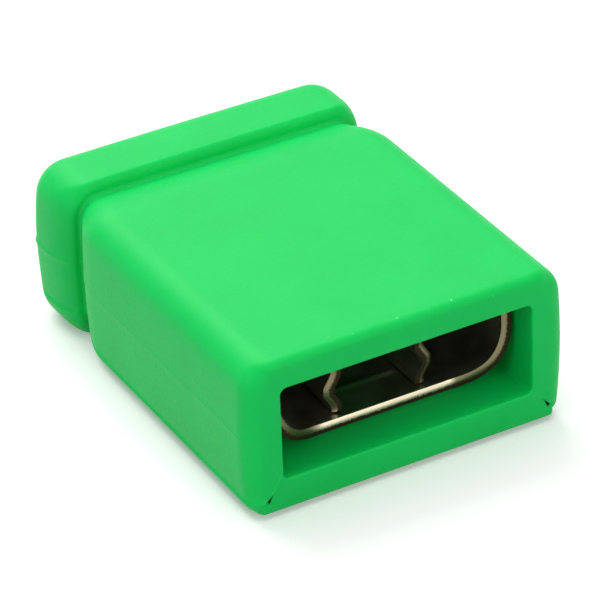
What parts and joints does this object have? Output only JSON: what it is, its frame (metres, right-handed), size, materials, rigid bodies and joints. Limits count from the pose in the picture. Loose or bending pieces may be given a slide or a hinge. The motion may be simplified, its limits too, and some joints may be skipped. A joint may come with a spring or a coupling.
{
  "type": "jumper shunt",
  "caption": "Flat moulded cap with a grip bar and an open mouth, holding a formed spring strip that bridges neighbouring header posts.",
  "frame": {"origin": "centre of the bounding box's bottom face, with the shunt lying on a broad face", "axes": "+Y from the mouth towards the grip, the way the shunt is pulled off; +X across the posts; +Z through the thickness, away from the strip's base"},
  "size_m": [0.005, 0.0066, 0.0025],
  "materials": {
    "housing": "moulded green polyester, satin from the mould",
    "contact": "phosphor bronze strip with thin tin plating, bare at the sheared edges"
  },
  "bodies": {
    "root": {"housing": "housing", "contact": "contact"}
  },
  "joints": []
}
